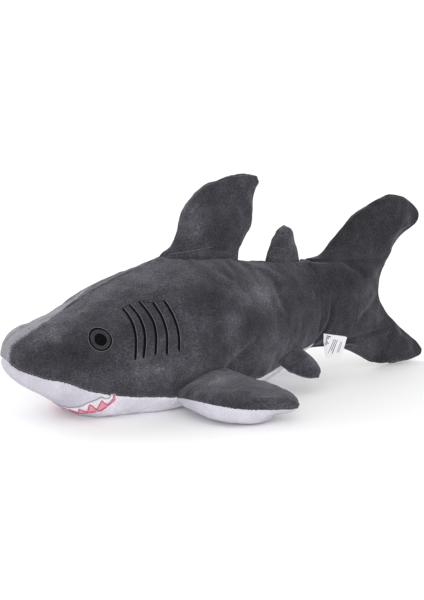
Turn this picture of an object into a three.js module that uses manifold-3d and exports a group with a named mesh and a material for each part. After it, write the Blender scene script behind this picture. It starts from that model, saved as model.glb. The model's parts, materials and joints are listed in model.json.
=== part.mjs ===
// A stuffed toy shark, sewn from short-pile fabric panels and resting on its belly.
// Millimetres. +X runs from the nose to the tail, -Y is the shark's left side and +Z is up.
// The origin is on the ground, under the middle of its length and width.
import * as THREE from 'three';
import { mergeVertices } from 'three/addons/utils/BufferGeometryUtils.js';
import Module from 'manifold-3d';

const wasm = await Module();
wasm.setup();

// ---------------------------------------------------------------- driving dimensions
const SKIN = 2.0; // thickness of a fabric panel, pile included
const GAP = 0.3; // clearance between two pieces that touch
const STITCH = 1.0; // height of the embroidery above the fabric
const GROUND = 0.0;
const EDGE = GAP / 2; // what each of two neighbours gives up
const STUB = 0.3; // least share of its height that an inset section keeps
const TOP = Math.PI / 2; // angle of the top seam in a section
const SEAM_COLUMN = 8; // points from the underside to the side seam
const TOP_COLUMN = 15; // points from the underside to the top seam

// The body, one row for each cross-section: place along X, top seam, underside, half width,
// and how square the section is (2 is an ellipse).
const BODY = [
  { x: -248, top: 70, bottom: 58, half: 5, square: 2.0 },
  { x: -246, top: 79, bottom: 49, half: 16, square: 2.0 },
  { x: -240, top: 85.5, bottom: 41, half: 26, square: 2.1 },
  { x: -229, top: 91, bottom: 32, half: 34, square: 2.2 },
  { x: -214, top: 95, bottom: 23, half: 42, square: 2.3 },
  { x: -198, top: 100, bottom: 13, half: 49, square: 2.3 },
  { x: -180, top: 108.5, bottom: 1, half: 55, square: 2.3 },
  { x: -160, top: 119, bottom: -7, half: 60, square: 2.3 },
  { x: -135, top: 129.5, bottom: -10, half: 64, square: 2.2 },
  { x: -105, top: 138.5, bottom: -15, half: 66, square: 2.2 },
  { x: -75, top: 146.5, bottom: -18, half: 66, square: 2.1 },
  { x: -45, top: 146, bottom: -14, half: 63, square: 2.1 },
  { x: -15, top: 142.5, bottom: -9, half: 57, square: 2.1 },
  { x: 12, top: 136, bottom: -6, half: 50, square: 2.1 },
  { x: 36, top: 133, bottom: 4, half: 43, square: 2.0 },
  { x: 58, top: 130.5, bottom: 16, half: 37, square: 2.0 },
  { x: 76, top: 129.5, bottom: 26, half: 32, square: 2.0 },
  { x: 92, top: 130, bottom: 33, half: 28, square: 2.0 },
];
const WIDEST = 0.46; // height of the widest point, as a share of the section's height

// Height of the seam between the grey back and the white belly, at places along X.
const SIDE_SEAM = [
  [-248, 61], [-244, 55], [-229, 49], [-201, 42], [-187, 34], [-162, 28], [-138, 23], [-90, 16],
  [-45, 18], [-15, 18], [12, 18], [36, 22], [58, 29], [76, 36], [92, 41],
];

// ---------------------------------------------------------------- small helpers
const WELD = 1e-4; // points closer than this are one
const vec = (x, y, z) => new THREE.Vector3(x, y, z);
const mix = (a, b, t) => a + (b - a) * t;
const signedPower = (v, p) => Math.sign(v) * Math.abs(v) ** p;

// Straight-line reading of a table of [place, value] pairs.
function lookUp(table, place) {
  const last = table.length - 2;
  let i = 0;
  while (i < last && place > table[i + 1][0]) i += 1;
  const t = (place - table[i][0]) / (table[i + 1][0] - table[i][0]);
  return mix(table[i][1], table[i + 1][1], THREE.MathUtils.clamp(t, 0, 1));
}

// Which way a four-sided face is bent.
function twist(points, a, b, c, d) {
  const [ab, ac, ad] = [b, c, d].map((k) => points[k].clone().sub(points[a]));
  return ab.dot(ac.cross(ad));
}

// A closed body through rings of points; every ring has the same number of points. A folded
// ring runs back beside itself in its second half, and both halves then bend their faces the
// same way, so that a lining stays parallel to its skin. The end faces are fans from their own
// middle, or strips when the ring is a bent band.
function loft(rings, { folded = false, banded = false } = {}) {
  const count = rings[0].length;
  const points = rings.flat();
  const faces = [];
  for (let i = 0; i < rings.length - 1; i += 1) {
    for (let j = 0; j < count; j += 1) {
      const a = i * count + j;
      const b = i * count + ((j + 1) % count);
      const [c, d] = [b + count, a + count];
      const across = twist(points, a, b, c, d) > 0 !== (folded && j >= count / 2);
      faces.push(...(across ? [[a, b, c], [a, c, d]] : [[a, b, d], [b, c, d]]));
    }
  }
  for (const [start, flip] of [[0, true], [(rings.length - 1) * count, false]]) {
    const cap = [];
    if (banded) {
      for (let j = 0; j < count / 2 - 1; j += 1) {
        const [a, b] = [start + j, start + j + 1];
        const [c, d] = [start + count - 2 - j, start + count - 1 - j];
        cap.push([a, b, c], [a, c, d]);
      }
    } else {
      const middle = points.length;
      const ring = points.slice(start, start + count);
      points.push(ring.reduce((sum, p) => sum.add(p), vec(0, 0, 0)).divideScalar(count));
      for (let j = 0; j < count; j += 1) cap.push([middle, start + j, start + ((j + 1) % count)]);
    }
    faces.push(...(flip ? cap.map((f) => [f[0], f[2], f[1]]) : cap));
  }
  return facing(points, faces);
}

const BAND = { folded: true, banded: true };

// Geometry from points and triangles, turned inside out if its volume is negative.
function facing(points, faces) {
  let volume = 0;
  for (const [a, b, c] of faces) {
    volume += points[a].dot(points[b].clone().cross(points[c]));
  }
  const index = faces.flatMap(([a, b, c]) => (volume < 0 ? [a, c, b] : [a, b, c]));
  const geometry = new THREE.BufferGeometry();
  const numbers = points.flatMap((p) => p.toArray());
  geometry.setAttribute('position', new THREE.Float32BufferAttribute(numbers, 3));
  geometry.setIndex(index);
  return geometry;
}

// To and from the solids that can be cut and joined.
function solid(geometry) {
  const bare = geometry.clone();
  bare.deleteAttribute('normal');
  bare.deleteAttribute('uv');
  const merged = mergeVertices(bare, WELD);
  return new wasm.Manifold(new wasm.Mesh({
    numProp: 3,
    vertProperties: new Float32Array(merged.attributes.position.array),
    triVerts: new Uint32Array(merged.index.array),
  }));
}

function fromSolid(manifold) {
  const mesh = manifold.getMesh();
  const geometry = new THREE.BufferGeometry();
  geometry.setAttribute('position', new THREE.Float32BufferAttribute(mesh.vertProperties, 3));
  geometry.setIndex(Array.from(mesh.triVerts));
  return geometry;
}

// The same piece on the shark's other side.
function mirrored(geometry) {
  const copy = geometry.clone();
  const position = copy.attributes.position;
  for (let i = 0; i < position.count; i += 1) position.setY(i, -position.getY(i));
  const index = copy.index.array;
  for (let i = 0; i < index.length; i += 3) {
    const swap = index[i + 1];
    index[i + 1] = index[i + 2];
    index[i + 2] = swap;
  }
  return copy;
}

// ---------------------------------------------------------------- the body's surface
// Point of a section at an angle from the widest point, positive upwards, on the +Y side.
function sectionPoint(row, angle) {
  const middle = mix(row.bottom, row.top, WIDEST);
  const reach = angle >= 0 ? row.top - middle : middle - row.bottom;
  const y = row.half * Math.abs(Math.cos(angle)) ** (2 / row.square);
  const z = middle + reach * signedPower(Math.sin(angle), 2 / row.square);
  return vec(row.x, y, Math.max(z, GROUND));
}

// Angle of the side seam in a section.
function seamAngle(row) {
  const middle = mix(row.bottom, row.top, WIDEST);
  const drop = (middle - lookUp(SIDE_SEAM, row.x)) / (middle - row.bottom);
  return -Math.asin(THREE.MathUtils.clamp(drop, -1, 1) ** (row.square / 2));
}

// Every section as a closed ring: up the right side from the underside through the seam to the
// top, then down the left side.
function bodyRings() {
  return BODY.map((row) => {
    const seam = seamAngle(row);
    const low = Array.from({ length: SEAM_COLUMN }, (_, j) => mix(-TOP, seam, j / SEAM_COLUMN));
    const back = TOP_COLUMN - SEAM_COLUMN;
    const high = Array.from({ length: back + 1 }, (_, j) => mix(seam, TOP, j / back));
    const right = [...low, ...high].map((angle) => sectionPoint(row, angle));
    const left = right.slice(1, -1).reverse().map((p) => vec(p.x, -p.y, p.z));
    return [...right, ...left];
  });
}

// Rings moved along their own normals; a positive distance is outwards.
function offsetRings(rings, distance) {
  const around = rings[0].length;
  return rings.map((ring, i) => ring.map((point, j) => {
    const before = rings[Math.max(i - 1, 0)][j];
    const after = rings[Math.min(i + 1, rings.length - 1)][j];
    const left = ring[(j + around - 1) % around];
    const right = ring[(j + 1) % around];
    const normal = after.clone().sub(before).cross(right.clone().sub(left)).normalize();
    return point.clone().addScaledVector(normal, -distance);
  }));
}

// A panel between two surfaces, over some of their columns, trimmed a little at both edges.
function panel(outer, inner, columns) {
  const strip = (ring) => {
    const points = columns.map((j) => ring[j].clone());
    const last = points.length - 1;
    const trim = (k, next) => {
      const inwards = points[next].clone().sub(points[k]).normalize();
      points[k].addScaledVector(inwards, EDGE);
    };
    trim(0, 1);
    trim(last, last - 1);
    return points;
  };
  return loft(outer.map((ring, i) => [...strip(ring), ...strip(inner[i]).reverse()]), BAND);
}

// ---------------------------------------------------------------- the fins
// A fin is a flat pocket, pinched where it is sewn on. One row for each chord from the root
// out: its front end, its rear end and half the thickness there. The pectoral fins are fuller
// under their seam than over it.
const DORSAL = [
  { lead: [-78, 0, 149.7], trail: [4, 0, 142.7], thick: 2.4 },
  { lead: [-70, 0, 158], trail: [12, 0, 155], thick: 10 },
  { lead: [-65, 0, 171], trail: [21, 0, 170], thick: 13 },
  { lead: [-60, 0, 188], trail: [24, 0, 185], thick: 12 },
  { lead: [-52, 0, 200], trail: [24, 0, 199], thick: 10 },
  { lead: [-40, 0, 211], trail: [27, 0, 209], thick: 8 },
  { lead: [-27, 0, 218], trail: [31, 0, 216], thick: 6.5 },
  { lead: [-6, 0, 224], trail: [27, 0, 223.5], thick: 4 },
];
const REAR_DORSAL = [
  { lead: [39, 0, 136], trail: [81, 0, 134], thick: 2.4 },
  { lead: [42, 0, 144], trail: [79, 0, 142], thick: 8 },
  { lead: [46, 0, 153], trail: [75, 0, 152], thick: 8 },
  { lead: [50, 0, 160], trail: [72, 0, 160], thick: 6.5 },
  { lead: [55, 0, 166], trail: [68, 0, 166], thick: 4 },
];
const PECTORAL = [
  { lead: [-86, 62, 16], trail: [-38, 67, 40], thick: 2.4, under: 2.4 },
  { lead: [-91, 82, 20], trail: [-25, 84, 35], thick: 8, under: 17 },
  { lead: [-87, 108, 22], trail: [-8, 101, 29], thick: 9, under: 21 },
  { lead: [-66, 129, 21], trail: [2, 114, 24], thick: 9.5, under: 20 },
  { lead: [-38, 137, 18], trail: [7, 123, 19.5], thick: 8.5, under: 16.5 },
  { lead: [-12, 136, 14.5], trail: [7, 128, 15], thick: 5, under: 9 },
];
const PELVIC = [
  { lead: [36, 41, 28], trail: [65, 38, 42], thick: 2.4 },
  { lead: [41, 48, 24], trail: [70, 46, 36], thick: 8 },
  { lead: [50, 55, 20], trail: [74, 53, 28], thick: 7.5 },
  { lead: [59, 60, 17], trail: [73, 59, 22], thick: 5 },
];
// Where the outline of a lens-shaped section is drawn: share of the chord, share of the thickness.
const LENS = [[0, 0], [0.1, 0.65], [0.32, 1], [0.58, 0.9], [0.82, 0.55], [1, 0]];

// Half of a lens-shaped section on one face of the fin, drawn inset and lifted off the seam.
function lensArc(rows, i, face, inset, lift) {
  const row = rows[i];
  const [lead, trail] = [vec(...row.lead), vec(...row.trail)];
  const chord = trail.clone().sub(lead);
  const middle = (other) => vec(...other.lead).add(vec(...other.trail));
  const span = middle(rows[Math.min(i + 1, rows.length - 1)]).sub(middle(rows[Math.max(i - 1, 0)]));
  const normal = chord.clone().cross(span).normalize().multiplyScalar(face);
  const trim = inset / chord.length();
  const full = face < 0 && row.under ? row.under : row.thick;
  const height = Math.max(full - inset, STUB * full);
  return LENS.map(([along, up]) => lead.clone()
    .addScaledVector(chord, mix(trim, 1 - trim, along))
    .addScaledVector(normal, lift + height * up));
}

function finPanel(rows, face) {
  return loft(rows.map((_, i) => [
    ...lensArc(rows, i, face, 0, EDGE),
    ...lensArc(rows, i, face, SKIN, EDGE).reverse(),
  ]), BAND);
}

function between(a, b, t) {
  const blend = (p, q) => p.map((v, k) => mix(v, q[k], t));
  const thick = mix(a.thick, b.thick, t);
  const middle = { lead: blend(a.lead, b.lead), trail: blend(a.trail, b.trail), thick };
  return a.under ? { ...middle, under: mix(a.under, b.under, t) } : middle;
}

// The filling reaches a share of the way into the last stretch before the tip.
const TIP_SHARE = 0.7;

function finStuffing(rows) {
  const inset = SKIN + 3 * GAP;
  const tip = rows.length - 1;
  const inside = [...rows.slice(0, -1), between(rows[tip - 1], rows[tip], TIP_SHARE)];
  return loft(inside.map((_, i) => [
    ...lensArc(inside, i, 1, inset, 0),
    ...lensArc(inside, i, -1, inset, 0).reverse().slice(1, -1),
  ]), { folded: true });
}

// ---------------------------------------------------------------- the tail
// Rows from the lower tip to the upper one: height, front edge, rear edge, radius of the front.
const TAIL_HINGE = 92; // where the upright tail hinge stands along X
const BODY_END = 88; // where the body's panels stop, clear of the swinging tail
const ROOT = { middle: 82, reach: 47, half: 28 }; // the tail's root, an upright ellipse
const LOBES_BELOW = [
  [1, 191, 231, 4], [5, 178, 243, 5.5], [12, 165, 248, 7.5], [22, 147, 241, 9.5], [31, 125, 229, 10.5],
  [37, 103, 222, 8],
];
const ROOT_ROWS = [[47, 209], [60, 197], [74, 188], [90, 184], [106, 188], [117, 193]];
const LOBES_ABOVE = [
  [127, 99, 200, 8], [136, 109, 204, 9.5], [148, 120, 215, 10], [160, 132, 234, 9.5], [172, 147, 236, 9],
  [182, 163, 226, 8], [189, 179, 216, 6], [191.5, 187, 206, 4],
];
const FRONT_ARC = [0, 35, 65, 90].map(THREE.MathUtils.degToRad);
const TAPER = [[0.3, 0.77], [0.65, 0.44], [1, 0]]; // share of the way back, share of the radius

const rootRadius = (z) => ROOT.half * Math.sqrt(Math.max(1 - ((z - ROOT.middle) / ROOT.reach) ** 2, 0));
const TAIL = [
  ...LOBES_BELOW.map(([z, lead, trail, radius]) => ({ z, centre: lead + radius, trail, radius })),
  ...ROOT_ROWS.map(([z, trail]) => ({ z, centre: TAIL_HINGE, trail, radius: rootRadius(z) })),
  ...LOBES_ABOVE.map(([z, lead, trail, radius]) => ({ z, centre: lead + radius, trail, radius })),
];

// Half of a drop-shaped section: a round front and sides that close at the rear edge.
function dropArc(row, side, inset, lift) {
  const radius = Math.max(row.radius - inset, STUB * row.radius);
  const rear = row.trail - 2 * inset;
  const front = FRONT_ARC.map((a) => [row.centre - radius * Math.cos(a), radius * Math.sin(a)]);
  const sides = TAPER.map(([along, up]) => [mix(row.centre, rear, along), radius * up]);
  return [...front, ...sides].map(([x, y]) => vec(x, side * (y + lift), row.z));
}

function tailPanel(side) {
  return loft(TAIL.map((row) => [
    ...dropArc(row, side, 0, EDGE),
    ...dropArc(row, side, SKIN, EDGE).reverse(),
  ]), BAND);
}

function tailStuffing() {
  const inset = SKIN + 2 * GAP;
  const rows = TAIL.slice(1, -1);
  return loft(rows.map((row) => [
    ...dropArc(row, 1, inset, 0),
    ...dropArc(row, -1, inset, 0).reverse().slice(1, -1),
  ]), { folded: true });
}

// The hollow in the end of the body that the tail's root turns in, and all behind it.
const SOCKET = { clearance: 0.8, above: 4, steps: 14, sides: 28 };

function tailSocket() {
  const profile = Array.from({ length: SOCKET.steps + 1 }, (_, i) => {
    const angle = mix(-TOP, TOP, i / SOCKET.steps);
    const out = (ROOT.half + SOCKET.clearance) * Math.cos(angle);
    return new THREE.Vector2(out, (ROOT.reach + SOCKET.above) * Math.sin(angle));
  });
  profile[0].x = 0;
  profile[SOCKET.steps].x = 0;
  const hollow = new THREE.LatheGeometry(profile, SOCKET.sides);
  hollow.rotateX(TOP);
  hollow.translate(TAIL_HINGE, 0, ROOT.middle);
  const reach = 4 * ROOT.reach;
  const behind = new THREE.BoxGeometry(reach, reach, 2 * reach);
  behind.translate(BODY_END + reach / 2, 0, ROOT.middle);
  return solid(hollow).add(solid(behind));
}

// ---------------------------------------------------------------- the embroidery
// Satin stitch follows the fabric: each motif is a slice of a thin layer over the body.
const EYE = { x: -172, z: 84, ring: 10.8, thread: 1.8, pupil: 5.6 };
const GILL_WIDTH = 2.4;
const GILL_STEPS = 8; // stretches along each gill line
const GILLS = [ // each line from its top down, in side view
  [[-144, 109], [-140, 98], [-139, 83], [-141, 63]],
  [[-137, 112], [-132, 101], [-130, 86], [-133, 64]],
  [[-127, 114], [-121, 101], [-119, 87], [-121, 66]],
  [[-115, 113], [-110, 99], [-108, 85], [-109, 65]],
  [[-104, 114], [-99, 101], [-96, 86], [-96, 67]],
];
// The mouth, seen from below. The lip runs from the middle out to a corner; the teeth dip and
// reach back behind it, the gum follows them, and a share of the lip is bare at each corner.
const MOUTH = { line: 1.2, dip: 1, tooth: 6, gum: 2, teeth: 12, corner: 0.03, ceiling: 34 };
const UPPER_LIP = [[-199, 0], [-197.5, 15], [-192, 30], [-184, 43.5], [-175, 51], [-162, 56]];

function stitchLayer() {
  const low = loft(offsetRings(skinRings, GAP));
  const high = loft(offsetRings(skinRings, GAP + STITCH));
  return solid(high).subtract(solid(low));
}

// A flat outline as a prism: across the right side of the body, or up from below it.
const PRISM = { side: 90, low: 60, curveSegments: 5 };

function sidePrism(shape) {
  const { side, curveSegments } = PRISM;
  const bar = new THREE.ExtrudeGeometry(shape, { depth: side, bevelEnabled: false, curveSegments });
  bar.rotateX(TOP);
  bar.translate(0, side, 0);
  return solid(bar);
}

function lowPrism(shape) {
  const bar = new THREE.ExtrudeGeometry(shape, { depth: PRISM.low, bevelEnabled: false });
  bar.translate(0, 0, MOUTH.ceiling - PRISM.low);
  return solid(bar);
}

function disc(radius) {
  const shape = new THREE.Shape();
  shape.absarc(EYE.x, EYE.z, radius, 0, 2 * Math.PI);
  return shape;
}

// A band of even width along a smooth line through a few points.
function band(points, width, steps) {
  const curve = new THREE.CatmullRomCurve3(points.map(([x, y]) => vec(x, y, 0)));
  const edge = (side) => Array.from({ length: steps + 1 }, (_, i) => {
    const along = curve.getTangentAt(i / steps);
    const point = curve.getPointAt(i / steps);
    return new THREE.Vector2(point.x - side * along.y * width / 2, point.y + side * along.x * width / 2);
  });
  return new THREE.Shape([...edge(1), ...edge(-1).reverse()]);
}

// A strip of the mouth between two edges; each edge is a distance back, or two for a zigzag.
function mouthStrip(near, far) {
  const right = UPPER_LIP.map(([x, y]) => vec(x, y, 0));
  const left = UPPER_LIP.slice(1).reverse().map(([x, y]) => vec(x, -y, 0));
  const arch = new THREE.CatmullRomCurve3([...left, ...right]);
  const steps = 2 * MOUTH.teeth;
  const edge = (distances) => Array.from({ length: steps + 1 }, (_, i) => {
    const t = mix(MOUTH.corner, 1 - MOUTH.corner, i / steps);
    const [point, along] = [arch.getPointAt(t), arch.getTangentAt(t)];
    const back = distances[i % distances.length];
    return new THREE.Vector2(point.x + along.y * back, point.y - along.x * back);
  });
  return new THREE.Shape([...edge(near), ...edge(far).reverse()]);
}

// ---------------------------------------------------------------- the care label
// A folded ribbon sewn into the tail's left side, in side view round its sewn edge.
const LABEL = { x: 99, y: -22, z: 47, leaf: 0.5, splay: 6 };
const LABEL_OUTLINE = [[-1, -4], [0, 5], [24, 0], [17, -25], [3, -21]];

function labelLeaf(layerNumber) {
  const outline = new THREE.Shape(LABEL_OUTLINE.map(([x, z]) => new THREE.Vector2(x, z)));
  const leaf = new THREE.ExtrudeGeometry(outline, { depth: LABEL.leaf, bevelEnabled: false });
  leaf.rotateX(TOP);
  leaf.translate(0, -layerNumber * (LABEL.leaf + GAP), 0);
  return leaf;
}

// ---------------------------------------------------------------- materials
const fabric = (color) => new THREE.MeshStandardMaterial({ color, roughness: 0.95 });
const grey = fabric(0x47464d);
const white = fabric(0xe2dfe8);
const fill = fabric(0xf4f2ee);
const thread = (color) => new THREE.MeshStandardMaterial({ color, roughness: 0.55 });
const blackThread = thread(0x121214);
const greyThread = thread(0x9a98a2);
const pinkThread = thread(0xe48aa2);
const whiteThread = thread(0xf2f0f4);
const satin = new THREE.MeshStandardMaterial({ color: 0xe6e5ea, roughness: 0.4 });

// ---------------------------------------------------------------- assembly
const group = new THREE.Group();
const skinRings = bodyRings();

function add(name, geometry, material) {
  geometry.computeVertexNormals();
  const mesh = new THREE.Mesh(geometry, material);
  mesh.name = name;
  group.add(mesh);
  return mesh;
}

function addPair(name, geometry, material) {
  add(`${name}_right`, geometry, material);
  add(`${name}_left`, mirrored(geometry), material);
}

// Body: two grey backs that meet at the top seam, a white belly and the filling.
const socket = tailSocket();
const liningRings = offsetRings(skinRings, -SKIN);
const around = skinRings[0].length;
const columns = (from, to) => Array.from({ length: to - from + 1 }, (_, k) => (from + k + around) % around);
const backs = panel(skinRings, liningRings, columns(SEAM_COLUMN, TOP_COLUMN));
const belly = panel(skinRings, liningRings, columns(-SEAM_COLUMN, SEAM_COLUMN));
const bodyFill = loft(offsetRings(skinRings, -SKIN - 2 * GAP).slice(2));
addPair('back_panel', fromSolid(solid(backs).subtract(socket)), grey);
add('belly_panel', fromSolid(solid(belly).subtract(socket)), white);
add('body_stuffing', fromSolid(solid(bodyFill).subtract(socket)), fill);

// Upright fins, sewn along the top seam.
for (const [name, rows] of [['dorsal_fin', DORSAL], ['rear_dorsal_fin', REAR_DORSAL]]) {
  add(`${name}_left_panel`, finPanel(rows, 1), grey);
  add(`${name}_right_panel`, finPanel(rows, -1), grey);
  add(`${name}_stuffing`, finStuffing(rows), fill);
}

// Side fins: the pectoral pair is white underneath, the pelvic pair is grey all over.
for (const [name, rows, under] of [['pectoral_fin', PECTORAL, white], ['pelvic_fin', PELVIC, grey]]) {
  addPair(`${name}_top_panel`, finPanel(rows, 1), grey);
  addPair(`${name}_under_panel`, finPanel(rows, -1), under);
  addPair(`${name}_stuffing`, finStuffing(rows), fill);
}

add('tail_right_panel', tailPanel(1), grey);
add('tail_left_panel', tailPanel(-1), grey);
add('tail_stuffing', tailStuffing(), fill);

// Embroidery: the eyes, five gill lines on each side, and the mouth.
const layer = stitchLayer();
const ringShape = disc(EYE.ring);
ringShape.holes.push(disc(EYE.ring - EYE.thread));
addPair('eye_ring', fromSolid(layer.intersect(sidePrism(ringShape))), blackThread);
addPair('eye_pupil', fromSolid(layer.intersect(sidePrism(disc(EYE.pupil)))), blackThread);
GILLS.forEach((points, i) => {
  const line = layer.intersect(sidePrism(band(points, GILL_WIDTH, GILL_STEPS)));
  addPair(`gill_stitch_${i + 1}`, fromSolid(line), blackThread);
});

const lip = MOUTH.line;
const tips = [lip + MOUTH.dip, lip + MOUTH.tooth];
const strips = [
  ['upper_lip_stitch', mouthStrip([0], [lip]), greyThread],
  ['teeth_stitch', mouthStrip([lip + GAP], tips), whiteThread],
  ['gum_stitch', mouthStrip(tips.map((t) => t + GAP), [lip + MOUTH.tooth + MOUTH.gum]), pinkThread],
];
for (const [name, shape, material] of strips) {
  add(name, fromSolid(layer.intersect(lowPrism(shape))), material);
}

['back', 'front'].forEach((side, i) => {
  const leaf = add(`care_label_${side}_leaf`, labelLeaf(i), satin);
  leaf.position.set(LABEL.x, LABEL.y, LABEL.z);
  leaf.rotation.z = THREE.MathUtils.degToRad(-LABEL.splay);
});

export default group;
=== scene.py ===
"""The looks of a stuffed toy shark, sewn from short-pile plush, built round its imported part.

The frame is the part's own: +X from the nose to the tail, -Y the shark's left side, +Z up.
Shapes are worked out in millimetres and turned into metres when a mesh is made.
"""

import json
import math

import bpy
import numpy as np
from mathutils import Vector, noise
from mathutils.bvhtree import BVHTree
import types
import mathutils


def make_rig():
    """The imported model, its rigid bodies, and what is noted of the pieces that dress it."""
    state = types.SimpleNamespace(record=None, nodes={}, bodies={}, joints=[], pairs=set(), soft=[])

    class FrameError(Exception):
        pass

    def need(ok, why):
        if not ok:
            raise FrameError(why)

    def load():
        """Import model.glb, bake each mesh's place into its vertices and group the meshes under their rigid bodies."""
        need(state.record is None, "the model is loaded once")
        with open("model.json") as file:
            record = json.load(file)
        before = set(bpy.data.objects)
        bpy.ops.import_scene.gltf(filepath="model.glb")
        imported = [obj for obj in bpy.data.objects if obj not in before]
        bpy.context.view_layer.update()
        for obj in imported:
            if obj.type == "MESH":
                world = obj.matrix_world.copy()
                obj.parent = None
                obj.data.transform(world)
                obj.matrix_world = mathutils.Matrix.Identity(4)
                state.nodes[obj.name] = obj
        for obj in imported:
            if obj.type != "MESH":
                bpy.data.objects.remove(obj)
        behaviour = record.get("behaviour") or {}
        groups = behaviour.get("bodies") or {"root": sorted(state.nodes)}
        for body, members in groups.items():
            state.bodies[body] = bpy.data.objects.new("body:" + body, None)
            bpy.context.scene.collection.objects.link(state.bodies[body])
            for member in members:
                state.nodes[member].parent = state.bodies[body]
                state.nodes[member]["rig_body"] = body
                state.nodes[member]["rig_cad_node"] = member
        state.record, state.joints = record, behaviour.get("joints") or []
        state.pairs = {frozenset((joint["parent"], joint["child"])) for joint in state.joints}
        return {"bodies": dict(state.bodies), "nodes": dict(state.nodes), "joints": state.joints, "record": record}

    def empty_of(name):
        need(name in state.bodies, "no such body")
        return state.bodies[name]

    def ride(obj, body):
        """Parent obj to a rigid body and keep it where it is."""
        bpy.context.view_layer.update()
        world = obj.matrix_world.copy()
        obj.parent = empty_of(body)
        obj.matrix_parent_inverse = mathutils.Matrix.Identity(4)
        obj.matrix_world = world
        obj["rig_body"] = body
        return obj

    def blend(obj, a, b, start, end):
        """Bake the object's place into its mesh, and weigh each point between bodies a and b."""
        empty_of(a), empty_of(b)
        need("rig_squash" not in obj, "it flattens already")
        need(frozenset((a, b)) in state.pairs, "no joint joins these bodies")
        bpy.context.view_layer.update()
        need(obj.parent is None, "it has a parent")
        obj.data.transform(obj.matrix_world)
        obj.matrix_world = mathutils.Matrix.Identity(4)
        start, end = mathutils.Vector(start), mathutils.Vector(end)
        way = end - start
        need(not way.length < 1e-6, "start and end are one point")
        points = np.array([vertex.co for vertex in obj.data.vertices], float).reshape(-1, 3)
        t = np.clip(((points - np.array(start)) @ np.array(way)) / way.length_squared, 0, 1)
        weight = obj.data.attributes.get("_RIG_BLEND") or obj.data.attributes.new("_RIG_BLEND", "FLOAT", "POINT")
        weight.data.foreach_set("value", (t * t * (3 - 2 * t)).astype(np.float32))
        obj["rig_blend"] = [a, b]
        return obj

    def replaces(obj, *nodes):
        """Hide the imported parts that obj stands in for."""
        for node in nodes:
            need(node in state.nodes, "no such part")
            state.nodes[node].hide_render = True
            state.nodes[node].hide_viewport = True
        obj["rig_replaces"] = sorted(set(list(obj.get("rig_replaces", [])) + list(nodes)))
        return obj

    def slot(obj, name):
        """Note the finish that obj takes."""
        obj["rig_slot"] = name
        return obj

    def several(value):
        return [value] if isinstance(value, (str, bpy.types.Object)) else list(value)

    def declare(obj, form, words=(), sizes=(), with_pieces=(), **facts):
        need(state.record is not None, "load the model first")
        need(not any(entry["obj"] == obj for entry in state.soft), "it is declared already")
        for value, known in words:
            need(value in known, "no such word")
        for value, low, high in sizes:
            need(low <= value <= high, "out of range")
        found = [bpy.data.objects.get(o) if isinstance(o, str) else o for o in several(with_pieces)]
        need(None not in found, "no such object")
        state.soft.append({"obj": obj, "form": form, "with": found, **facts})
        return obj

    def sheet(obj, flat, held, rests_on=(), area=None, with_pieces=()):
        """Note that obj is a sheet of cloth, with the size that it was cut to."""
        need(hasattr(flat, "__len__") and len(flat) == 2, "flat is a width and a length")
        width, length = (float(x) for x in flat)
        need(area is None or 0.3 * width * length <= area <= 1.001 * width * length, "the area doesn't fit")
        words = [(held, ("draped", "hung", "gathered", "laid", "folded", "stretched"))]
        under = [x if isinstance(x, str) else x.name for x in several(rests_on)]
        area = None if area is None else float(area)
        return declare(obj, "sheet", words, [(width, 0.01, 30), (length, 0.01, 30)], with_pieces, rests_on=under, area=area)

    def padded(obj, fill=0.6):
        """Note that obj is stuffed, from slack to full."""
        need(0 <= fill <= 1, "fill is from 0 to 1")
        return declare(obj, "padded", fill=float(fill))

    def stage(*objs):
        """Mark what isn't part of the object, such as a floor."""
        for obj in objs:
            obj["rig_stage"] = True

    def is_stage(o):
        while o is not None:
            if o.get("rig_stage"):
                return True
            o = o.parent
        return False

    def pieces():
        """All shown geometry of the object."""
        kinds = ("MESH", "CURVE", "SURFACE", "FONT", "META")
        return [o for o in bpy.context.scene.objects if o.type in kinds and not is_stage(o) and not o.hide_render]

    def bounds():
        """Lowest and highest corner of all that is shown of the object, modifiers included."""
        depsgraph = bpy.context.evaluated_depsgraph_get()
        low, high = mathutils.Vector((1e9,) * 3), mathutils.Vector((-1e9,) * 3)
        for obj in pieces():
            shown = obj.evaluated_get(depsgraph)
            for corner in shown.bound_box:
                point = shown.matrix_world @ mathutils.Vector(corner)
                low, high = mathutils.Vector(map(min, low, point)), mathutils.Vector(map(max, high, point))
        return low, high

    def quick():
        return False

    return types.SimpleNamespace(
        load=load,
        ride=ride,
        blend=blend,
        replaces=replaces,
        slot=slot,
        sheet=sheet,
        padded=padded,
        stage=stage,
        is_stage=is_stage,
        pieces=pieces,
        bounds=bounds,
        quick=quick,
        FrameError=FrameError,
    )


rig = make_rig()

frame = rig.load()
cad_box = [list(corner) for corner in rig.bounds()]

# ------ driving dimensions
MM = 0.001
CLOTH_STEP = 4.5  # spacing of the points that the cloth simulation moves
CLOTH_FRAMES = 20
CLOTH = {
    "quality": 6, "mass": 0.2, "tension_stiffness": 20, "compression_stiffness": 20,
    "shear_stiffness": 8, "bending_stiffness": 0.4, "use_pressure": True,
    "uniform_pressure_force": 4.0, "vertex_group_mass": "sewn",
}
FINE_STEP = 1.9  # spacing of the points of the finished fabric
BESIDE_SEAM = np.array([0, 0.45, 0.9, 1.4, 2.0, 2.8, 3.8])  # where its points lie beside a sewn edge
SHELL = 1.2  # thickness of the fabric
RIM = {"share": 0.12, "width": 5}  # its thickness at the rim, and the width over which it grows
FLAT_EDGE = 3.0  # how softly the belly turns from its side to its flat underside
CAMERA = {"azimuth": -28, "elevation": 12, "distance": 1.3, "target": (-0.024, 0, 0.097), "lens": 75.66}

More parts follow.
